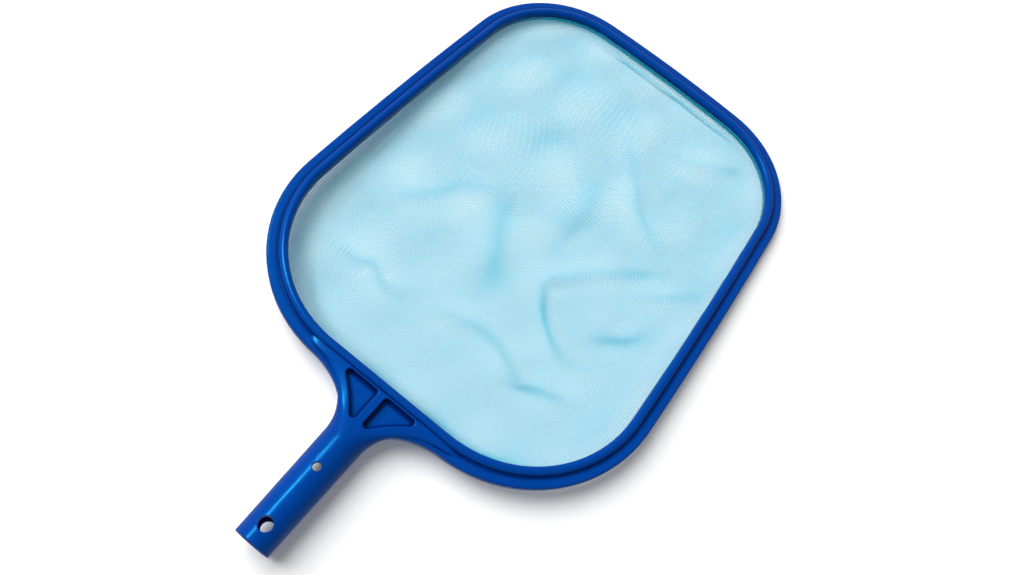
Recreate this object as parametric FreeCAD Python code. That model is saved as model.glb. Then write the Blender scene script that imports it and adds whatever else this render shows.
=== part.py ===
import FreeCAD, Part
import math
import os

# Flat leaf skimmer: a slack net held in a moulded hoop, with a gusset and a hollow handle socket.
# Millimetres. Origin at the centre of the socket's mouth. +Y runs from the mouth to the far side
# of the hoop, +Z is up, and X = 0 is the plane of symmetry.
# "Out" is a distance measured outwards from the hoop's inner edge, square to the outline.

# ---- driving dimensions: hoop outline, given for the inner edge ----
RAIL_WIDTH = 14.2                 # inner edge of the ring to outer edge of the flange
OVERALL_WIDTH = 300.0
OVERALL_LENGTH = 484.0
HALF_WIDTH = OVERALL_WIDTH / 2 - RAIL_WIDTH
NEAR_Y = 121.2                    # straight side next to the gusset
FAR_Y = OVERALL_LENGTH - RAIL_WIDTH
WIDEST_Y = 185.7                  # the sides narrow slightly from here to the far end
SIDE_RADIUS = 3900.0              # the long sides bow out very gently
FAR_RADIUS = 1150.0               # so does the far side
NEAR_CORNER = 87.5
FAR_CORNER = 70.4

# ---- driving dimensions: heights (Z = socket centre line) ----
FLANGE_TOP = 7.8
LEDGE_TOP = FLANGE_TOP - 2.4      # the step that the ring and the net sit on
RAIL_BOTTOM = FLANGE_TOP - 6.0
CROWN_TOP = FLANGE_TOP + 3.2      # top of the rounded ring
RING_SEAT = LEDGE_TOP + 0.8       # underside of the ring, above the net
PLATE_TOP = FLANGE_TOP + 2.2      # flat top of the gusset
WEB_BOTTOM = RAIL_BOTTOM + 0.4    # underside of the gusset
POCKET_FLOOR = FLANGE_TOP - 2.6

# ---- driving dimensions: rail section, as distances out ----
LEDGE_OUT = 0.4
LEDGE_FOOT_ROUNDING = 0.6
RING_WIDTH = 5.9                  # the part of the ring that sits inside the flange
CROWN_OUT = 3.1                   # highest line of the ring
DOME_OUT = 6.3                    # foot of its rounded top, which covers the joint with the flange
LIP_OUT = 7.5                     # thin lip at that foot
LIP_THICKNESS = 0.4
LIP_ROUNDING = 0.25
LIP_CLEARANCE = 0.1               # between the lip and the flange
INNER_WALL_TOP = FLANGE_TOP + 0.4
TRIM_OUT = 6.0                    # the dome is cut back to here along the gusset
FLANGE_OUT = 6.2                  # inner wall of the flange, just clear of the ring
FLANGE_ROUNDING = 1.6             # outer top edge of the flange
FLANGE_LIP_ROUNDING = 0.3         # its inner top edge
FLANGE_FOOT_ROUNDING = 0.8        # its outer bottom edge
CHANNEL = (1.8, 4.4)              # slot in the ledge that takes the net's edge
CHANNEL_DEPTH = 2.4
TONGUE = (2.5, 3.7)               # rib under the ring that presses down into the slot
TONGUE_DEPTH = 1.9
UNDERCUT = (8.4, 12.2)            # hollow under the flange that keeps the wall even
UNDERCUT_DEPTH = 3.6
CORD_RADIUS = 0.5
CORD_OUT = 3.1
CORD_CLEARANCE = 0.05             # between the cord and the bottom of the slot

# ---- driving dimensions: handle socket ----
MOUTH_RADIUS = 12.5
TAPER = 0.0153                    # growth of the outside radius per millimetre of length
BARREL_LENGTH = 76.0              # round up to here, then it flares into the gusset
BORE_RADIUS = 10.3
BORE_DEPTH = 78.0
BORE_END_ROUNDING = 2.0
NOSE_RADIUS = 12.6                # closed end of the bore, showing under the gusset
NOSE_START_Y = 80.0
NOSE_LENGTH = 18.0
MOUTH_ROUNDING = 0.7
POLE_HOLE_Y = 12.4                # round hole through both walls
POLE_HOLE_RADIUS = 4.5
BUTTON_HOLE_Y = 54.3              # small hole in the top wall, with a window in the wall below it
BUTTON_HOLE_RADIUS = 2.7
WINDOW_RADIUS = 6.8
WINDOW_SHIFT = 3.8                # each end of the window, from the button hole
HOLE_LIP = 0.4                    # rounding where the holes break the barrel's skin

# ---- driving dimensions: gusset ----
FLARE_START_Y = 78.0              # where the sides leave the barrel
FLARE_RISE = 33.0                 # the raised flare's side is a quarter ellipse: this far along Y
FLARE_SPREAD = 60.0               # and out to this half width
FLARE_EASE = 24.0                 # length over which the top and bottom change height
PLATE_HALF_SPREAD = 63.0          # half width of the raised plate where it meets the ring
SQUARENESS = 3.4                  # how square the gusset's section is; 2 would be an ellipse
SECTION_POLES = 40
SKIRT_START_X = 11.3              # the flange-high skirt leaves the barrel here
SKIRT_SPREAD = 58.0               # and runs into the hoop here, just inside its outer edge
SKIRT_INSET = 0.5
POCKET_TOP_Y = 113.8
POCKET_TOP_X = (2.9, 33.6)
POCKET_FOOT = (2.9, 83.9)
POCKET_BOW = 2.6                  # how far the pocket's outer side bows in towards its middle
POCKET_ROUNDING = 2.7
POCKET_LIP = 0.9                  # rounding of the pocket's top edge
POCKET_FLOOR_ROUNDING = 0.8

# ---- driving dimensions: net ----
NET_THICKNESS = 0.4
NET_EDGE_OUT = 2.2
NET_EDGE_THICKNESS = 0.3          # pinched where it turns down into the slot
NET_LIP = 1.5                     # flat strip inside the ring before the net drops
NET_DROP = 11.0
NET_SLOPE_RUN = 15.0

OVERSHOOT = 5.0                   # cutters run this far past the surface that they cut
UP = FreeCAD.Vector(0, 0, 1)


def at(x, y, z=0.0):
    return FreeCAD.Vector(x, y, z)


# ---- hoop outline ----

def circle_crossing(centre_a, radius_a, centre_b, radius_b):
    """The crossing of two circles that has the larger X."""
    gap = centre_b - centre_a
    along = (radius_a ** 2 - radius_b ** 2 + gap.Length ** 2) / (2 * gap.Length)
    across = math.sqrt(radius_a ** 2 - along ** 2)
    direction = gap / gap.Length
    side = direction.cross(UP)
    points = [centre_a + direction * along + side * across * sign for sign in (1, -1)]
    return max(points, key=lambda point: point.x)


def outline_centres():
    """Arc centres on the +X side: side arc, near corner, far corner and far arc."""
    side = at(HALF_WIDTH - SIDE_RADIUS, WIDEST_Y)
    rise = NEAR_Y + NEAR_CORNER - side.y
    near = at(side.x + math.sqrt((SIDE_RADIUS - NEAR_CORNER) ** 2 - rise ** 2), NEAR_Y + NEAR_CORNER)
    far = at(0, FAR_Y - FAR_RADIUS)
    corner = circle_crossing(side, SIDE_RADIUS - FAR_CORNER, far, FAR_RADIUS - FAR_CORNER)
    return side, near, corner, far


def arc(centre, radius, start, end):
    """Arc round a centre between two points on it, the short way."""
    middle = (start - centre) + (end - centre)
    return Part.Arc(start, centre + middle * (radius / middle.Length), end).toShape()


def mirrored(point):
    return at(-point.x, point.y, point.z)


def outline(out):
    """Closed outline of the hoop, a distance out from its inner edge."""
    side, near, corner, far = outline_centres()
    near_start = at(near.x, NEAR_Y - out)
    near_end = near + (near - side) * ((NEAR_CORNER + out) / (near - side).Length)
    corner_start = corner + (corner - side) * ((FAR_CORNER + out) / (corner - side).Length)
    corner_end = corner + (corner - far) * ((FAR_CORNER + out) / (corner - far).Length)
    edges = [Part.makeLine(mirrored(near_start), near_start)]
    edges.append(arc(near, NEAR_CORNER + out, near_start, near_end))
    edges.append(arc(side, SIDE_RADIUS + out, near_end, corner_start))
    edges.append(arc(corner, FAR_CORNER + out, corner_start, corner_end))
    edges.append(arc(far, FAR_RADIUS + out, corner_end, mirrored(corner_end)))
    edges.append(arc(mirrored(corner), FAR_CORNER + out, mirrored(corner_end), mirrored(corner_start)))
    edges.append(arc(mirrored(side), SIDE_RADIUS + out, mirrored(corner_start), mirrored(near_end)))
    edges.append(arc(mirrored(near), NEAR_CORNER + out, mirrored(near_end), mirrored(near_start)))
    return Part.Wire(edges)


def slab(wire, bottom, top):
    """Solid with the wire's shape between two heights."""
    solid = Part.Face(wire).extrude(UP * (top - bottom))
    solid.translate(UP * bottom)
    return solid


def band(inner_out, outer_out, bottom, top):
    """Closed hoop between two distances out and two heights."""
    return slab(outline(outer_out), bottom, top).cut(slab(outline(inner_out), bottom, top))


def loop_edges(solid, height, outer):
    """Edges of the outer or inner loop of the flat face at one height."""
    faces = [face for face in solid.Faces if abs(face.BoundBox.ZMin - height) < 1e-6
             and abs(face.BoundBox.ZMax - height) < 1e-6]
    loops = sorted(faces[0].Wires, key=lambda wire: wire.Length)
    return loops[-1 if outer else 0].Edges


# ---- retaining ring ----

def rail_point(out, height):
    """A point of the rail's section in the plane X = 0, next to the gusset."""
    return at(0, NEAR_Y - out, height)


def dome_side(foot):
    """Quarter ellipse from a foot of the ring's dome up to its crown."""
    centre = at(0, NEAR_Y - CROWN_OUT, foot.z)
    ellipse = Part.Ellipse(foot, rail_point(CROWN_OUT, CROWN_TOP), centre)
    return Part.ArcOfEllipse(ellipse, 0, math.pi / 2).toShape()


def ring_section():
    """Section of the ring: dome, thin lip at its outer foot, body and the rib under the body."""
    lip_bottom = FLANGE_TOP + LIP_CLEARANCE
    lip_top = lip_bottom + LIP_THICKNESS
    bend = LIP_ROUNDING * (1 - math.sqrt(0.5))
    inner_foot = rail_point(0, INNER_WALL_TOP)
    outer_foot = rail_point(DOME_OUT, lip_top)
    lip_start = rail_point(LIP_OUT - LIP_ROUNDING, lip_top)
    lip_end = rail_point(LIP_OUT, lip_top - LIP_ROUNDING)
    lip_corner = Part.Arc(lip_start, rail_point(LIP_OUT - bend, lip_top - bend), lip_end).toShape()
    underside = [
        lip_end, rail_point(LIP_OUT, lip_bottom), rail_point(RING_WIDTH, lip_bottom),
        rail_point(RING_WIDTH, RING_SEAT), rail_point(TONGUE[1], RING_SEAT),
        rail_point(TONGUE[1], RING_SEAT - TONGUE_DEPTH), rail_point(TONGUE[0], RING_SEAT - TONGUE_DEPTH),
        rail_point(TONGUE[0], RING_SEAT), rail_point(0, RING_SEAT), inner_foot]
    lines = [Part.makeLine(start, end) for start, end in zip(underside, underside[1:])]
    lines.append(Part.makeLine(outer_foot, lip_start))
    return Part.Wire(Part.__sortEdges__(lines + [lip_corner, dome_side(inner_foot), dome_side(outer_foot)]))


def carried_round(section):
    """Solid that a section in the plane X = 0, next to the gusset, sweeps on its way round the hoop."""
    side, near, corner, far = outline_centres()
    face = Part.Face(section)
    face.translate(at(near.x, 0))
    pieces = [face.extrude(at(-near.x, 0))]
    heading = -90.0
    for centre, end in ((near, near - side), (side, corner - side), (corner, corner - far), (far, at(0, 1))):
        turn = math.degrees(math.atan2(end.y, end.x)) - heading
        pieces.append(face.revolve(centre, UP, turn))
        face.rotate(centre, UP, turn)
        heading += turn
    half = pieces[0].fuse(pieces[1:])
    return half.fuse(half.mirror(at(0, 0), at(1, 0)))


def beside_gusset():
    """What is cut off the ring's foot so that it stands clear of the gusset's straight side."""
    corner = at(-HALF_WIDTH, 0, RAIL_BOTTOM)
    return Part.makeBox(2 * HALF_WIDTH, NEAR_Y - TRIM_OUT, CROWN_TOP, corner)


def retaining_ring():
    """Round-topped hoop with a rib underneath that presses the net into the slot."""
    return carried_round(ring_section()).cut(beside_gusset()).removeSplitter()


# ---- net and its edge cord ----

def net():
    """Lip under the ring, a hem turned down into the slot, and the slack middle."""
    middle = (LEDGE_TOP + RING_SEAT) / 2
    bottom = middle - NET_THICKNESS / 2
    top = middle + NET_THICKNESS / 2
    lip = band(-NET_LIP - NET_THICKNESS, NET_EDGE_OUT, bottom, top)
    hem = band(NET_EDGE_OUT - NET_EDGE_THICKNESS, NET_EDGE_OUT, LEDGE_TOP - CHANNEL_DEPTH / 2, top)
    outside = net_pan(0.0, top)
    inside = net_pan(NET_THICKNESS, top + NET_THICKNESS)
    return lip.fuse([hem, outside.cut(inside)]).removeSplitter()


def net_pan(inset, top):
    """Shallow tray that the slack net hangs in; inset gives its inner skin."""
    rim = outline(-NET_LIP - inset)
    floor = outline(-NET_LIP - NET_SLOPE_RUN - inset)
    rim.translate(UP * top)
    floor.translate(UP * (top - NET_DROP - NET_THICKNESS))
    return Part.makeLoft([floor, rim], True, True)


def net_edge_cord():
    """Round cord lying in the bottom of the slot."""
    path = outline(CORD_OUT)
    height = LEDGE_TOP - CHANNEL_DEPTH + CORD_CLEARANCE + CORD_RADIUS
    path.translate(UP * height)
    section = Part.Wire(Part.makeCircle(CORD_RADIUS, at(0, NEAR_Y - CORD_OUT, height), at(1, 0, 0)))
    return path.makePipeShell([section], True, False)


# ---- frame ----

def rail():
    """Flange, ledge and channel: everything that runs right round the hoop."""
    flange = band(FLANGE_OUT, RAIL_WIDTH, RAIL_BOTTOM, FLANGE_TOP)
    flange = flange.makeFillet(FLANGE_ROUNDING, loop_edges(flange, FLANGE_TOP, True))
    flange = flange.makeFillet(FLANGE_LIP_ROUNDING, loop_edges(flange, FLANGE_TOP, False))
    flange = flange.makeFillet(FLANGE_FOOT_ROUNDING, loop_edges(flange, RAIL_BOTTOM, True))
    ledge = band(LEDGE_OUT, (FLANGE_OUT + RAIL_WIDTH) / 2, RAIL_BOTTOM, LEDGE_TOP)
    ledge = ledge.makeFillet(LEDGE_FOOT_ROUNDING, loop_edges(ledge, RAIL_BOTTOM, False))
    body = flange.fuse(ledge)
    body = body.cut(band(*CHANNEL, LEDGE_TOP - CHANNEL_DEPTH, LEDGE_TOP + OVERSHOOT))
    return body.cut(band(*UNDERCUT, RAIL_BOTTOM - OVERSHOOT, RAIL_BOTTOM + UNDERCUT_DEPTH))


def barrel_radius(y):
    return MOUTH_RADIUS + TAPER * y


def ease(y):
    """1 on the round barrel, falling smoothly to 0 on the flat gusset."""
    travel = min(max((y - BARREL_LENGTH) / FLARE_EASE, 0), 1)
    return (1 + math.cos(math.pi * travel)) / 2


def flare_half_width(y):
    """Half width of the handle: a cone, then a quarter ellipse, then the plate."""
    start = barrel_radius(BARREL_LENGTH)
    end_y = FLARE_START_Y + FLARE_RISE
    if y <= FLARE_START_Y:
        return barrel_radius(min(y, BARREL_LENGTH))
    if y < end_y:
        height = (y - FLARE_START_Y) / FLARE_RISE
        return FLARE_SPREAD - (FLARE_SPREAD - start) * math.sqrt(1 - height ** 2)
    return FLARE_SPREAD + (PLATE_HALF_SPREAD - FLARE_SPREAD) * (y - end_y) / (NEAR_Y - end_y)


def section_poles(y):
    """Control points of the handle's section: round on the barrel, flat-topped on the gusset."""
    shape = ease(y)
    radius = barrel_radius(min(y, BARREL_LENGTH))
    top = PLATE_TOP + (radius - PLATE_TOP) * shape
    bottom = WEB_BOTTOM + (-radius - WEB_BOTTOM) * shape
    half_height = (top - bottom) / 2
    power = 2 / (SQUARENESS + (2 - SQUARENESS) * shape)
    turn = 2 * math.pi / SECTION_POLES
    stretch = 3 / (2 + math.cos(turn))     # a cubic spline runs this much inside its poles
    poles = []
    for step in range(SECTION_POLES):
        across = math.cos(step * turn)
        up = math.sin(step * turn)
        x = flare_half_width(y) * stretch * math.copysign(abs(across) ** power, across)
        z = half_height * stretch * math.copysign(abs(up) ** power, up)
        poles.append(at(x, y, (top + bottom) / 2 + z))
    return poles


def spline_body(rows):
    """Solid with a smooth cubic skin that follows rows of poles, closed by a flat face at each end."""
    count = len(rows)
    around = len(rows[0])
    skin = Part.BSplineSurface()
    skin.buildFromPolesMultsKnots(
        rows, [4] + [1] * (count - 4) + [4], [1] * (around + 1),
        list(range(count - 2)), list(range(around + 1)), False, True, 3, 3)
    side = skin.toShape()
    rims = [edge for edge in side.Edges if edge.BoundBox.YLength < 1e-6]
    shell = Part.Shell([side] + [Part.Face(Part.Wire([rim])) for rim in rims])
    shell.sewShape()
    return Part.Solid(shell)


def handle():
    """Barrel and gusset as one smooth body, before it is hollowed."""
    barrel = [BARREL_LENGTH * step / 4 for step in range(5)]
    flare = [FLARE_START_Y + FLARE_RISE * math.sin(math.radians(angle)) for angle in range(0, 91, 9)]
    plate = [NEAR_Y - FLANGE_OUT, NEAR_Y]
    body = spline_body([section_poles(y) for y in barrel + flare + plate])
    body = body.cut(mouth_corner()).fuse([skirt(), nose()])
    corner = at(-HALF_WIDTH, NEAR_Y - FLANGE_OUT, FLANGE_TOP)
    ring_side = Part.makeBox(2 * HALF_WIDTH, RAIL_WIDTH, CROWN_TOP, corner)
    return body.cut([ring_side, slab(outline(FLANGE_OUT), -BORE_RADIUS, CROWN_TOP)])


def mouth_corner():
    """Ring of waste that leaves the mouth's outer edge rounded."""
    inside = MOUTH_RADIUS - MOUTH_ROUNDING
    outside = MOUTH_RADIUS + OVERSHOOT
    bend = MOUTH_ROUNDING * math.sqrt(0.5)
    start = at(inside, 0)
    end = at(inside + MOUTH_ROUNDING, MOUTH_ROUNDING)
    curve = Part.Arc(start, at(inside + bend, MOUTH_ROUNDING - bend), end).toShape()
    corners = [end, at(outside, MOUTH_ROUNDING), at(outside, -OVERSHOOT), at(inside, -OVERSHOOT), start]
    edges = [curve] + [Part.makeLine(a, b) for a, b in zip(corners, corners[1:])]
    return Part.Face(Part.Wire(edges)).revolve(at(0, 0), at(0, 1), 360)


def skirt():
    """Flange-high plate whose curved sides carry the hoop's outer edge down to the barrel."""
    end_y = NEAR_Y - RAIL_WIDTH + SKIRT_INSET
    centre = at(SKIRT_SPREAD, FLARE_START_Y)
    ellipse = Part.Ellipse(centre, SKIRT_SPREAD - SKIRT_START_X, end_y - FLARE_START_Y)
    right = Part.ArcOfEllipse(ellipse, math.pi / 2, math.pi).toShape()
    left = right.mirror(at(0, 0), at(1, 0))
    shoulder = at(SKIRT_SPREAD, end_y)
    foot = at(SKIRT_START_X, FLARE_START_Y)
    back = at(SKIRT_SPREAD, NEAR_Y)
    ends = [(mirrored(foot), foot), (shoulder, back), (back, mirrored(back))]
    ends.append((mirrored(back), mirrored(shoulder)))
    lines = [Part.makeLine(a, b) for a, b in ends]
    plate = slab(Part.Wire(Part.__sortEdges__(lines + [right, left])), RAIL_BOTTOM, FLANGE_TOP)
    curved = [edge for edge in plate.Edges if edge.Curve.TypeId == "Part::GeomEllipse"]
    upper = [edge for edge in curved if edge.BoundBox.ZMin > RAIL_BOTTOM + 1]
    return plate.makeFillet(FLANGE_ROUNDING, upper)


def nose():
    """Rounded closed end of the socket, turned about the Y axis."""
    tip = at(0, NOSE_START_Y + NOSE_LENGTH)
    shoulder = at(NOSE_RADIUS, NOSE_START_Y)
    root = at(NOSE_RADIUS, BARREL_LENGTH - NOSE_LENGTH)
    axis_root = at(0, root.y)
    dome = Part.Ellipse(tip, shoulder, at(0, NOSE_START_Y))
    edges = [Part.makeLine(axis_root, root), Part.makeLine(root, shoulder)]
    edges += [Part.ArcOfEllipse(dome, 0, math.pi / 2).toShape(), Part.makeLine(tip, axis_root)]
    return Part.Face(Part.Wire(Part.__sortEdges__(edges))).revolve(at(0, 0), at(0, 1), 360)


def socket_bore():
    """Blind bore that takes the pole."""
    bore = Part.makeCylinder(BORE_RADIUS, BORE_DEPTH, at(0, 0), at(0, 1))
    end = max(bore.Edges, key=lambda edge: edge.BoundBox.YMin)
    return bore.makeFillet(BORE_END_ROUNDING, [end])


def pole_hole():
    """Round hole straight through both walls."""
    reach = barrel_radius(POLE_HOLE_Y) + OVERSHOOT
    return Part.makeCylinder(POLE_HOLE_RADIUS, 2 * reach, at(0, POLE_HOLE_Y, -reach), UP)


def button_hole():
    """Hole in the top wall and the wider window in the wall below it."""
    reach = barrel_radius(BUTTON_HOLE_Y) + OVERSHOOT
    hole = Part.makeCylinder(BUTTON_HOLE_RADIUS, reach, at(0, BUTTON_HOLE_Y), UP)
    ends = [Part.makeCylinder(WINDOW_RADIUS, reach, at(0, BUTTON_HOLE_Y + shift, -reach), UP)
            for shift in (-WINDOW_SHIFT, WINDOW_SHIFT)]
    corner = at(-WINDOW_RADIUS, BUTTON_HOLE_Y - WINDOW_SHIFT, -reach)
    window = Part.makeBox(2 * WINDOW_RADIUS, 2 * WINDOW_SHIFT, reach, corner)
    return hole.fuse([window] + ends)


def pocket(side):
    """Cutter for one of the two triangular recesses; side is +1 or -1 in X."""
    inner = at(POCKET_TOP_X[0], POCKET_TOP_Y)
    outer = at(POCKET_TOP_X[1], POCKET_TOP_Y)
    foot = at(*POCKET_FOOT)
    along = (foot - outer) / (foot - outer).Length
    bow = (outer + foot) / 2 + along.cross(UP) * POCKET_BOW
    edges = [Part.makeLine(foot, inner), Part.makeLine(inner, outer)]
    edges.append(Part.Arc(outer, bow, foot).toShape())
    cutter = slab(Part.Wire(edges), POCKET_FLOOR, PLATE_TOP + OVERSHOOT)
    upright = [edge for edge in cutter.Edges if edge.BoundBox.ZLength > 1]
    cutter = cutter.makeFillet(POCKET_ROUNDING, upright)
    cutter = cutter.makeFillet(POCKET_FLOOR_ROUNDING, loop_edges(cutter, POCKET_FLOOR, True))
    if side < 0:
        cutter = cutter.mirror(at(0, 0), at(1, 0))
    return cutter


def is_pocket_lip(edge):
    """True for the edges where a pocket breaks the top of the gusset."""
    box = edge.BoundBox
    high = box.ZMin > (FLANGE_TOP + PLATE_TOP) / 2
    between = max(abs(box.XMin), abs(box.XMax)) < POCKET_TOP_X[1]
    return high and between and POCKET_FOOT[1] < box.YMin and box.YMax < (POCKET_TOP_Y + NEAR_Y) / 2


def is_hole_lip(edge):
    """True for the edges where a cross hole or the window breaks the barrel's outer skin."""
    box = edge.BoundBox
    skin = (BORE_RADIUS + MOUTH_RADIUS) / 2
    outside = all(math.hypot(end.Point.x, end.Point.z) > skin for end in edge.Vertexes)
    return outside and box.YMin > 2 * MOUTH_ROUNDING and box.YMax < BARREL_LENGTH


def frame():
    """Hoop, gusset and socket: one moulding."""
    body = rail().fuse(handle()).removeSplitter()
    body = body.cut([socket_bore(), pole_hole(), button_hole(), pocket(1), pocket(-1)])
    body = body.makeFillet(POCKET_LIP, [edge for edge in body.Edges if is_pocket_lip(edge)])
    return body.makeFillet(HOLE_LIP, [edge for edge in body.Edges if is_hole_lip(edge)])


PARTS = {
    "frame": frame,
    "retaining_ring": retaining_ring,
    "net": net,
    "net_edge_cord": net_edge_cord,
}

os.makedirs("parts", exist_ok=True)
for name, build in PARTS.items():
    build().exportStep("parts/" + name + ".step")
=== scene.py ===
import math

import bpy
import numpy as np
from mathutils import Matrix, Vector
from mathutils.bvhtree import BVHTree


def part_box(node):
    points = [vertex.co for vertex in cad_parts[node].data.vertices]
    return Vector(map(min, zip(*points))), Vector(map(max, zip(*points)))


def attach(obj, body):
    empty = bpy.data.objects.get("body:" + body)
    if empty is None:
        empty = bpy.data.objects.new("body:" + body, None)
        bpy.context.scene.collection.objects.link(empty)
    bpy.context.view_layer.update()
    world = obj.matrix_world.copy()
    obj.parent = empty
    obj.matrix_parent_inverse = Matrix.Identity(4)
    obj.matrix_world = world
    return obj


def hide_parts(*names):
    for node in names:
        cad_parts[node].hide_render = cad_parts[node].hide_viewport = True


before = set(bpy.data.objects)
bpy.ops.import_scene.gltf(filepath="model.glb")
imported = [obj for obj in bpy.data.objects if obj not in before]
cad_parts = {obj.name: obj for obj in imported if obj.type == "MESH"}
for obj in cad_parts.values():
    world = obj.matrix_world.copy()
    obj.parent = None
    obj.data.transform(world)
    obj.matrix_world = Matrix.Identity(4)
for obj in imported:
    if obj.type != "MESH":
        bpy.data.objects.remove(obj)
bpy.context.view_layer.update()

# Looks of the flat leaf skimmer. Metres, in the part's own frame: +Y from the socket's mouth to the
# far side of the hoop, +Z up.

MM = 0.001

# ---- net ----
THREAD_PITCH = 1.35 * MM
THREAD_RADIUS = 0.16 * MM
WEAVE_RISE = 0.14 * MM             # how far a thread swings over and under its neighbours
THREAD_END = 2.0 * MM              # threads run this far under the ring
FEWEST_POINTS = 3                  # a thread with fewer points than this is left out
PIECES_EACH_WAY = 3                # the warp and the weft are each split into this many pieces

# ---- cord in the net's edge ----
STRANDS = 3
STRAND_SHARE = 0.46                # a strand's radius against the cord's
CORD_TURNS = 260
CORD_STEPS = 9                     # points for each turn

# ---- how the slack net lies ----
DROP_RUN = 7 * MM                  # it falls from the rim to the floor over about this far
DROP_SHARPNESS = 1.5               # over 1, so that it leaves the rim level
REST_HEIGHT = 0.6 * MM             # how high it lies over the floor, before waves and folds
PUCKER_RISE = 0.5 * MM             # ripples beside the gusset
PUCKER_LENGTH = 6.5 * MM
PUCKER_STRAY = 2.0                 # how far the ripples stray from even spacing, in radians
PUCKER_DRIFT = 17 * MM             # they stray one way and the other in 2 pi times this
PUCKER_REACH = 14 * MM
WAVES = [(52 * MM, 20), (67 * MM, 100), (41 * MM, 155)]  # gentle unevenness: wavelength, heading
WAVE_CROWDING = 0.1                # by how much the threads' spacing varies along a wave
WAVE_RISE = 0.5 * MM

FOLD_STEPS = 12                    # points on each stretch of a fold's crest
FOLD_FULLNESS = 0.6                # under 1, so that a fold stays full closer to its ends

# Folds that the slack gathers into: rise and half width, how much closer the threads lie along the
# crest, and the crest's path. Lengths and places are in millimetres.
FOLDS = [
    (2.6, 8.0, 0.50, [(98, 320), (70, 299), (45, 275), (31, 256), (40, 237), (60, 222), (80, 217),
                      (97, 223)]),
    (1.8, 7.0, 0.40, [(124, 324), (105, 304), (84, 286)]),
    (1.2, 11.0, 0.30, [(118, 278), (102, 258), (76, 240)]),
    (2.6, 9.5, 0.42, [(6, 402), (28, 378), (45, 356), (62, 344), (88, 337)]),
    (2.0, 8.0, 0.36, [(38, 408), (60, 417), (75, 426), (94, 440)]),
    (2.2, 20.0, 0.34, [(14, 352), (17, 324), (8, 292)]),
    (2.2, 12.0, 0.40, [(-94, 236), (-74, 255), (-60, 273), (-40, 290)]),
    (2.0, 20.0, 0.36, [(-44, 294), (-22, 268), (-8, 246), (10, 222)]),
    (1.8, 8.0, 0.45, [(-116, 178), (-82, 180), (-68, 184), (-54, 178), (-34, 186)]),
    (2.2, 8.5, 0.45, [(-20, 184), (2, 193), (20, 198), (42, 193), (60, 178)]),
    (1.6, 8.0, 0.35, [(58, 179), (76, 188), (94, 196)]),
    (1.6, 26.0, 0.16, [(-72, 418), (-30, 409), (24, 414)]),
    (1.4, 22.0, 0.18, [(-108, 324), (-66, 338), (-20, 368)]),
]

# The net is gathered tightly into one line beside the far rim.
TUCK_Y = 464 * MM
TUCK_HALF_LENGTH = 78 * MM
TUCK_STRIP = 7.6 * MM              # the width of net gathered into it
TUCK_TAKE = 5.7 * MM               # how much of that width the gathering takes up
TUCK_REACH = 35 * MM               # about how far away the net is drawn in from
TUCK_RISE = 0.8 * MM               # how high the gathered line stands

# ---- floor: the far rim's foot and the end of the barrel stand on it, to within 0.3 mm ----
FLOOR_FAR = Vector((0, 484 * MM, 1.8 * MM))
FLOOR_NEAR = Vector((0, 77 * MM, -13.75 * MM))
FLOOR_SIZE = 8.0

# ---- plastic ----
BLUE_DARK = (0.0006, 0.040, 0.265)
BLUE_LIGHT = (0.0008, 0.049, 0.315)
SHEEN_TINT = (0.02, 0.50, 1.0, 1.0)
PAINTED_SHADE_REACH = 3.5 * MM            # painted shade darkens grooves and corners narrower than about this
PAINTED_SHADE_STEEPNESS = 5.0             # how quickly the painted shade deepens as the grooves close in
# dark tint of the shade painted into grooves and corners
PAINTED_SHADE_TINT = (0.0, 0.0, 0.25, 1.0)
SHADOW_EASE = 0.2                  # hides the facets along the edge of a shadow

# ---- camera and light ----
CAMERA_PLACE = Vector((70.87, -16.14, 500.36)) * MM
CAMERA_RIGHT = Vector((0.78103, 0.58885, 0.20797))
CAMERA_UP = Vector((-0.61683, 0.67541, 0.40415))
CAMERA_LENS = 28.125
CAMERA_NEAREST = 10 * MM           # nothing closer to the camera than this is drawn
KEY_ANGLE = 36.0                   # degrees from the vertical, towards -X
KEY_SPREAD = 52.0                  # degrees across, seen from the object
KEY_ENERGY = 252.0
GLINT_ANGLE = 33.0
GLINT_SPREAD = 10.0
GLINT_ENERGY = 58.0
LAMP_DISTANCE = 4.0
LAMP_AIM = Vector((0, 280 * MM, 0))
SKY = 0.18                         # brightness of the surroundings, as a light
MIRRORED_SKY = 0.35                # as seen in glossy surfaces
BACKDROP = 0.95                    # as seen directly
FLOOR_GLOW = 0.11


# ---- materials ----

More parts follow.
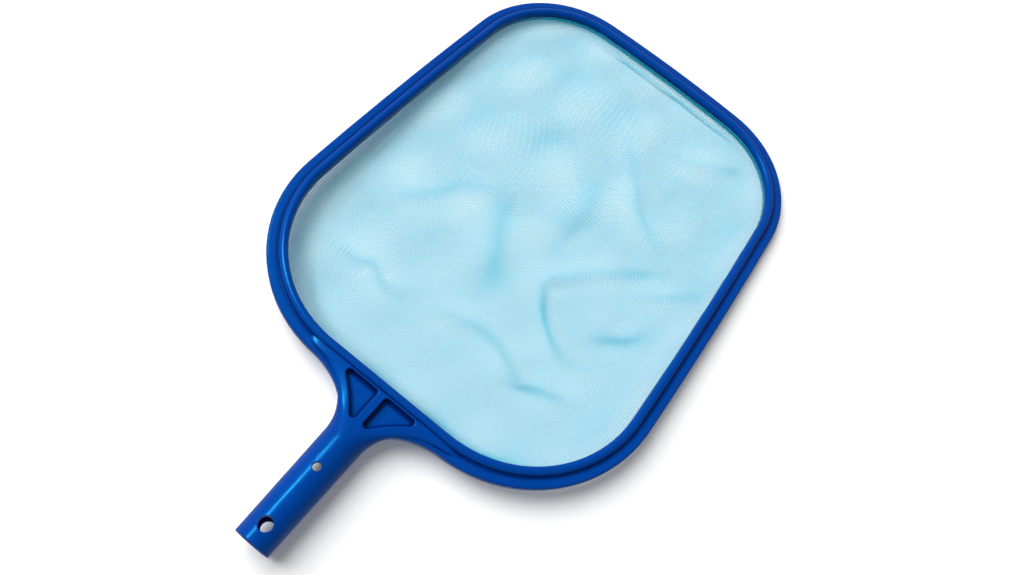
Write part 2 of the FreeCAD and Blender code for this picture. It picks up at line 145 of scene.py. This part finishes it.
class Material:
    """A node material with short ways to add and join its nodes."""

    def __init__(self, name):
        self.material = bpy.data.materials.new(name)
        self.material.use_nodes = True
        self.tree = self.material.node_tree
        self.shader = self.tree.nodes["Principled BSDF"]

    def node(self, kind, **inputs):
        made = self.tree.nodes.new(kind)
        for name, value in inputs.items():
            self.feed(made, name.replace("_", " "), value)
        return made

    def feed(self, node, name, value):
        """Sets an input to a number, or joins it to another node's output."""
        if isinstance(value, bpy.types.NodeSocket):
            self.tree.links.new(value, node.inputs[name])
        else:
            node.inputs[name].default_value = value

    def set(self, **inputs):
        for name, value in inputs.items():
            self.feed(self.shader, name.replace("_", " "), value)

    def place(self):
        return self.node("ShaderNodeTexCoord").outputs["Object"]

    def noise(self, scale, detail=3.0):
        made = self.node("ShaderNodeTexNoise", Vector=self.place(), Scale=scale, Detail=detail)
        return made.outputs["Fac"]

    def between(self, factor, low, high):
        """Maps a 0 to 1 factor to a number or a colour range."""
        if isinstance(low, tuple):
            ramp = self.node("ShaderNodeValToRGB", Fac=factor)
            ramp.color_ramp.elements[0].color = low + (1,)
            ramp.color_ramp.elements[1].color = high + (1,)
            return ramp.outputs["Color"]
        scaled = self.node("ShaderNodeMapRange", Value=factor, To_Min=low, To_Max=high)
        return scaled.outputs["Result"]

    def painted_corner_shade(self, colour, reach, steepness, tint):
        """Paints shade: multiplies a colour by a dark tint in corners and grooves narrower than the reach,
        found by ambient occlusion.
        """
        openness = self.node("ShaderNodeAmbientOcclusion", Distance=reach)
        steep = self.node("ShaderNodeGamma", Color=openness.outputs["Color"], Gamma=steepness)
        mixed = self.node("ShaderNodeMixRGB", Fac=steep.outputs["Color"], Color1=tint, Color2=(1, 1, 1, 1))
        product = self.node("ShaderNodeMixRGB", Fac=1.0, Color1=colour, Color2=mixed.outputs["Color"])
        product.blend_type = "MULTIPLY"
        return product.outputs["Color"]

    def bump(self, height, strength, distance):
        made = self.node("ShaderNodeBump", Height=height, Strength=strength, Distance=distance)
        return made.outputs["Normal"]


def moulded_plastic(name, dark, light):
    """Glossy moulded plastic: faint colour drift, painted shade in the corners, and a soft flow texture."""
    m = Material(name)
    grain = m.noise(scale=900.0, detail=2.0)
    drift = m.between(m.noise(scale=28.0), dark, light)
    # painted shade: the base colour is darkened in corners and grooves
    m.set(Base_Color=m.painted_corner_shade(drift, PAINTED_SHADE_REACH, PAINTED_SHADE_STEEPNESS, PAINTED_SHADE_TINT))
    m.set(Roughness=m.between(m.noise(scale=160.0), low=0.20, high=0.27))
    m.set(Normal=m.bump(grain, strength=0.1, distance=0.03 * MM))
    m.set(Specular_Tint=SHEEN_TINT)
    return m.material


def mesh_thread():
    """Pale aqua nylon."""
    m = Material("mesh_thread")
    m.set(Base_Color=m.between(m.noise(scale=60.0), low=(0.01, 0.58, 0.80), high=(0.03, 0.66, 0.86)))
    m.set(Roughness=m.between(m.noise(scale=300.0), low=0.35, high=0.55))
    m.set(Normal=m.bump(m.noise(scale=4000.0, detail=1.0), strength=0.2, distance=0.02 * MM))
    return m.material


def cord_fibre():
    """Pale matte fibre."""
    m = Material("cord_fibre")
    m.set(Base_Color=m.between(m.noise(scale=200.0), low=(0.45, 0.70, 0.80), high=(0.62, 0.82, 0.88)))
    m.set(Roughness=m.between(m.noise(scale=600.0), low=0.6, high=0.85))
    m.set(Normal=m.bump(m.noise(scale=5000.0, detail=1.0), strength=0.4, distance=0.03 * MM))
    return m.material


def pale_floor():
    """Almost white and even, with a faint glow of its own."""
    m = Material("pale_floor")
    m.set(Base_Color=m.between(m.noise(scale=3.0), low=(0.84, 0.84, 0.84), high=(0.86, 0.86, 0.86)))
    m.set(Roughness=0.7)
    m.set(Specular_IOR_Level=0.2)
    m.set(Emission_Color=(1, 1, 1, 1))
    m.set(Emission_Strength=FLOOR_GLOW)
    return m.material


# ---- the hoop's inner edge, read from the retaining ring ----

class Rim:
    """The hoop's inner edge in plan, as a distance from its centre for each direction."""

    RAYS = 1440
    WALL_SHARE = 0.42              # the inner edge is read at this share of the ring's height

    def __init__(self):
        low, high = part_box("retaining_ring")
        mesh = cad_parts["retaining_ring"].data
        self.centre = (low + high) / 2
        self.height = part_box("net")[1].z
        self.near_y = low.y
        wall_z = low.z + self.WALL_SHARE * (high.z - low.z)
        tree = BVHTree.FromPolygons([v.co for v in mesh.vertices], [p.vertices for p in mesh.polygons])
        self.angles = np.linspace(-math.pi, math.pi, self.RAYS, endpoint=False)
        start = Vector((self.centre.x, self.centre.y, wall_z))
        hits = [tree.ray_cast(start, Vector((math.cos(a), math.sin(a), 0)))[0] for a in self.angles]
        self.radii = np.array([(hit - start).length for hit in hits])
        around = np.concatenate([self.radii[-1:], self.radii, self.radii[:1]])
        self.slopes = (around[2:] - around[:-2]) / (2 * (self.angles[1] - self.angles[0]))

    def polar(self, x, y):
        """Direction and distance of points from the hoop's centre, in plan."""
        east, north = x - self.centre.x, y - self.centre.y
        return np.arctan2(north, east), np.hypot(east, north)

    def radius(self, angle):
        return np.interp(angle, self.angles, self.radii, period=2 * math.pi)

    def loop(self, out, count):
        """Closed ring of points (Z = 0) a distance outside the edge, and their outward directions."""
        angle = np.linspace(0, 2 * math.pi, count, endpoint=False)
        radius = self.radius(angle)
        slope = np.interp(angle, self.angles, self.slopes, period=2 * math.pi)
        cos, sin = np.cos(angle), np.sin(angle)
        outward = np.stack([radius * cos + slope * sin, radius * sin - slope * cos, 0 * angle], 1)
        outward /= np.linalg.norm(outward, axis=1)[:, None]
        edge = np.stack([self.centre.x + radius * cos, self.centre.y + radius * sin, 0 * angle], 1)
        return edge + out * outward, outward

    def out(self, x, y):
        """Distance outwards from the inner edge, to first order."""
        angle, reach = self.polar(x, y)
        radius = self.radius(angle)
        slope = np.interp(angle, self.angles, self.slopes, period=2 * math.pi)
        return (reach - radius) * radius / np.hypot(radius, slope)


# ---- the slack net ----

def floor_height(y):
    """Height of the sloping floor."""
    share = (y - FLOOR_NEAR.y) / (FLOOR_FAR.y - FLOOR_NEAR.y)
    return FLOOR_NEAR.z + (FLOOR_FAR.z - FLOOR_NEAR.z) * share


def new_object(name, points, faces):
    """New mesh object in the scene."""
    mesh = bpy.data.meshes.new(name)
    mesh.from_pydata(points, [], faces)
    made = bpy.data.objects.new(name, mesh)
    bpy.context.scene.collection.objects.link(made)
    return made


def fold_crest(path):
    """Closely spaced points on a smooth curve through a fold's path, and how full the fold is at each."""
    points = np.array([path[0]] + path + [path[-1]], float) * MM
    share = np.linspace(0, 1, FOLD_STEPS, endpoint=False)[:, None]
    spans = []
    for before, start, end, after in zip(points, points[1:], points[2:], points[3:]):
        bend = (2 * before - 5 * start + 4 * end - after) * share ** 2
        twist = (3 * start - before - 3 * end + after) * share ** 3
        spans.append(start + ((end - before) * share + bend + twist) / 2)
    crest = np.concatenate(spans + [points[-1:]])
    along = np.linspace(0, 1, len(crest))
    return crest, np.sin(math.pi * along) ** FOLD_FULLNESS


def fold(x, y, rise, half_width, gather, path):
    """How far a fold lifts points of the net, and how far it pulls them towards its crest."""
    crest, fullness = fold_crest(path)
    gap_x = crest[:, 0] - x[:, None]
    gap_y = crest[:, 1] - y[:, None]
    nearest = np.hypot(gap_x, gap_y).argmin(1)
    row = np.arange(len(x))
    gap_x, gap_y = gap_x[row, nearest], gap_y[row, nearest]
    bulge = fullness[nearest] * np.exp(-(gap_x ** 2 + gap_y ** 2) / (half_width * MM) ** 2)
    return np.stack([gather * bulge * gap_x, gather * bulge * gap_y, rise * MM * bulge], 1)


def wave(x, y, length, heading):
    """Lift and crowding of one gentle wave; its heading is in degrees from +X."""
    ahead = np.array([math.cos(math.radians(heading)), math.sin(math.radians(heading)), 0])
    phase = 2 * math.pi * (x * ahead[0] + y * ahead[1]) / length
    crowd = WAVE_CROWDING * length / (2 * math.pi)
    return np.sin(phase)[:, None] * crowd * ahead + np.cos(phase)[:, None] * np.array([0, 0, WAVE_RISE])


def tuck(x, y):
    """How far the gathered line beside the far rim moves points of the net."""
    inward = np.maximum(TUCK_Y - y, 0)
    fullness = np.exp(-(x / TUCK_HALF_LENGTH) ** 4)
    share = np.minimum(inward / TUCK_STRIP, 1)
    drawn = share * np.exp(-np.maximum(inward - TUCK_STRIP, 0) / TUCK_REACH)
    lifted = np.sin(math.pi * share)
    return np.stack([0 * x, TUCK_TAKE * fullness * drawn, TUCK_RISE * fullness * lifted], 1)


def draped(x, y, rim):
    """Where points of the flat net go when the net hangs slack from the rim and lies on the floor."""
    depth = np.maximum(-rim.out(x, y), 0)
    freedom = np.minimum(depth / DROP_RUN, 1)
    down = 1 - np.exp(-(depth / DROP_RUN) ** DROP_SHARPNESS)
    near_gusset = np.exp(-((y - rim.near_y) / PUCKER_REACH) ** 2)
    phase = 2 * math.pi * x / PUCKER_LENGTH + PUCKER_STRAY * np.sin(x / PUCKER_DRIFT)
    pucker = PUCKER_RISE * np.sin(phase) * near_gusset
    move = tuck(x, y) + np.stack([0 * x, 0 * x, pucker], 1)
    for shape in FOLDS:
        move += fold(x, y, *shape)
    for shape in WAVES:
        move += wave(x, y, *shape)
    hung = rim.height + (floor_height(y) + REST_HEIGHT - rim.height) * down
    place = np.stack([x, y, hung], 1) + move * freedom[:, None]
    lowest = np.where(depth > 0, floor_height(place[:, 1]) + 2 * THREAD_RADIUS, rim.height)
    place[:, 2] = np.maximum(place[:, 2], lowest)
    return place


# ---- threads ----

def tube(path, radius, sides=4, closed=False):
    """Tube along a path of points, as vertices and quads. An open tube has four sides and two caps."""
    along = np.roll(path, -1, 0) - np.roll(path, 1, 0) if closed else np.gradient(path, axis=0)
    along /= np.linalg.norm(along, axis=1)[:, None]
    side = np.cross(along, (0, 0, 1))
    side /= np.linalg.norm(side, axis=1)[:, None]
    up = np.cross(side, along)
    turn = 2 * math.pi * np.arange(sides)[:, None] / sides
    around = side[:, None] * np.cos(turn) + up[:, None] * np.sin(turn)
    points = (path[:, None] + radius * around).reshape(-1, 3)
    here = np.arange(len(path) if closed else len(path) - 1)[:, None] * sides
    ahead = (here + sides) % len(points)
    corner = np.arange(sides)
    beside = (corner + 1) % sides
    quads = np.stack([here + corner, here + beside, ahead + beside, ahead + corner], 2).reshape(-1, 4)
    if closed:
        return points, quads
    end = len(points) - 4
    return points, np.concatenate([quads, [[3, 2, 1, 0], [end, end + 1, end + 2, end + 3]]])


def thread_paths(rim, lengthwise):
    """Path of every thread one way: warp threads run along Y, weft threads along X."""
    low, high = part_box("net")
    count_x = int((high.x - low.x) / THREAD_PITCH / 2)
    count_y = int((high.y - low.y) / THREAD_PITCH / 2)
    x = rim.centre.x + np.arange(-count_x, count_x + 1) * THREAD_PITCH
    y = rim.centre.y + np.arange(-count_y, count_y + 1) * THREAD_PITCH
    grid_x, grid_y = np.meshgrid(x, y, indexing="ij")
    swing = np.where((np.add.outer(np.arange(len(x)), np.arange(len(y))) % 2) == 0, 1.0, -1.0)
    if not lengthwise:
        grid_x, grid_y, swing = grid_x.T, grid_y.T, -swing.T
    paths = []
    for line_x, line_y, line_swing in zip(grid_x, grid_y, swing):
        kept = rim.out(line_x, line_y) < THREAD_END
        if kept.sum() < FEWEST_POINTS:
            continue
        path = draped(line_x[kept], line_y[kept], rim)
        path[:, 2] += line_swing[kept] * WEAVE_RISE
        paths.append(path)
    return paths


def joined(name, tubes, material):
    """One object from many tubes."""
    points, quads, used = [], [], 0
    for tube_points, tube_quads in tubes:
        points.append(tube_points)
        quads.append(tube_quads + used)
        used += len(tube_points)
    made = new_object(name, np.concatenate(points), np.concatenate(quads).tolist())
    made.data.materials.append(material)
    made.data.polygons.foreach_set("use_smooth", [True] * len(made.data.polygons))
    return made


def woven_net(rim):
    """Threads that cross over and under each other, in a few pieces each way."""
    material = mesh_thread()
    for way in ("warp", "weft"):
        paths = thread_paths(rim, way == "warp")
        groups = np.array_split(np.arange(len(paths)), PIECES_EACH_WAY)
        for number, group in enumerate(groups, 1):
            tubes = [tube(paths[i], THREAD_RADIUS) for i in group]
            piece = joined(f"net_{way}_{number}", tubes, material)
            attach(piece, "root")
            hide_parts("net")


def twisted_cord(rim):
    """Strands laid round each other along the bottom of the frame's slot."""
    low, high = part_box("net_edge_cord")
    radius = (high.z - low.z) / 2
    out = rim.centre.y - rim.radius(-math.pi / 2) - low.y - radius
    strand = radius * STRAND_SHARE
    line, outward = rim.loop(out, CORD_TURNS * CORD_STEPS)
    phase = 2 * math.pi * np.arange(len(line))[:, None] / CORD_STEPS
    tubes = []
    for start in range(STRANDS):
        angle = phase + start * 2 * math.pi / STRANDS
        path = line + (radius - strand) * (outward * np.cos(angle) + np.array([0, 0, 1]) * np.sin(angle))
        path[:, 2] += (low.z + high.z) / 2
        tubes.append(tube(path, strand, sides=6, closed=True))
    piece = joined("edge_cord_strands", tubes, cord_fibre())
    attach(piece, "root")
    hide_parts("net_edge_cord")


# ---- stage ----

def floor():
    """Plain floor, tilted to lie under the part, which stands on its far rim and its barrel."""
    across = Vector((1, 0, 0))
    along = (FLOOR_FAR - FLOOR_NEAR).normalized()
    middle = (FLOOR_FAR + FLOOR_NEAR) / 2
    half = FLOOR_SIZE / 2
    corners = [middle + across * a * half + along * b * half for a, b in ((-1, -1), (1, -1), (1, 1), (-1, 1))]
    made = new_object("floor", corners, [(0, 1, 2, 3)])
    made.data.materials.append(pale_floor())
    made.visible_glossy = False


def lamp(name, tilt, spread, energy):
    """Disk lamp on the -X side: its tilt from the vertical and its spread are in degrees."""
    side = math.radians(tilt)
    place = LAMP_AIM + Vector((-math.sin(side), 0, math.cos(side))) * LAMP_DISTANCE
    data = bpy.data.lights.new(name, "AREA")
    data.shape = "DISK"
    data.size = 2 * LAMP_DISTANCE * math.tan(math.radians(spread / 2))
    data.energy = energy
    made = bpy.data.objects.new(name, data)
    made.location = place
    made.rotation_euler = (LAMP_AIM - place).to_track_quat("-Z", "Y").to_euler()
    bpy.context.scene.collection.objects.link(made)
    return made


def lights():
    """A large soft lamp for the shading, and a small one that only makes the thin highlights."""
    soft = lamp("soft_lamp", KEY_ANGLE, KEY_SPREAD, KEY_ENERGY)
    soft.visible_glossy = False
    glint = lamp("glint_lamp", GLINT_ANGLE, GLINT_SPREAD, GLINT_ENERGY)
    glint.visible_diffuse = False


def sky():
    """Pale surroundings, with a brightness of their own as a light, in a reflection and seen directly."""
    world = bpy.data.worlds.new("studio")
    world.use_nodes = True
    tree = world.node_tree
    background = tree.nodes["Background"]
    background.inputs["Color"].default_value = (1, 1, 1, 1)
    ray = tree.nodes.new("ShaderNodeLightPath")
    strength = tree.nodes.new("ShaderNodeMapRange")
    strength.inputs["To Min"].default_value = SKY
    strength.inputs["To Max"].default_value = MIRRORED_SKY
    tree.links.new(ray.outputs["Is Glossy Ray"], strength.inputs["Value"])
    seen = tree.nodes.new("ShaderNodeMapRange")
    seen.inputs["To Max"].default_value = BACKDROP
    tree.links.new(ray.outputs["Is Camera Ray"], seen.inputs["Value"])
    tree.links.new(strength.outputs["Result"], seen.inputs["To Min"])
    tree.links.new(seen.outputs["Result"], background.inputs["Strength"])
    bpy.context.scene.world = world


def camera():
    """Camera above the part, turned so that the barrel points to the lower left."""
    data = bpy.data.cameras.new("camera")
    data.lens = CAMERA_LENS
    data.clip_start = CAMERA_NEAREST
    made = bpy.data.objects.new("camera", data)
    right = CAMERA_RIGHT.normalized()
    up = CAMERA_UP.normalized()
    turn = Matrix((right, up, right.cross(up))).transposed()
    made.matrix_world = Matrix.Translation(CAMERA_PLACE) @ turn.to_4x4()
    bpy.context.scene.collection.objects.link(made)
    bpy.context.scene.camera = made


def paint(node, material):
    """Gives one of the part's moulded pieces its material."""
    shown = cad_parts[node]
    shown.data.materials.clear()
    shown.data.materials.append(material)
    shown.cycles.shadow_terminator_geometry_offset = SHADOW_EASE


paint("frame", moulded_plastic("frame_plastic", BLUE_DARK, BLUE_LIGHT))
paint("retaining_ring", moulded_plastic("ring_plastic", BLUE_DARK, BLUE_LIGHT))
rim = Rim()
woven_net(rim)
twisted_cord(rim)
floor()
lights()
sky()
camera()
bpy.context.scene.view_settings.view_transform = "Standard"
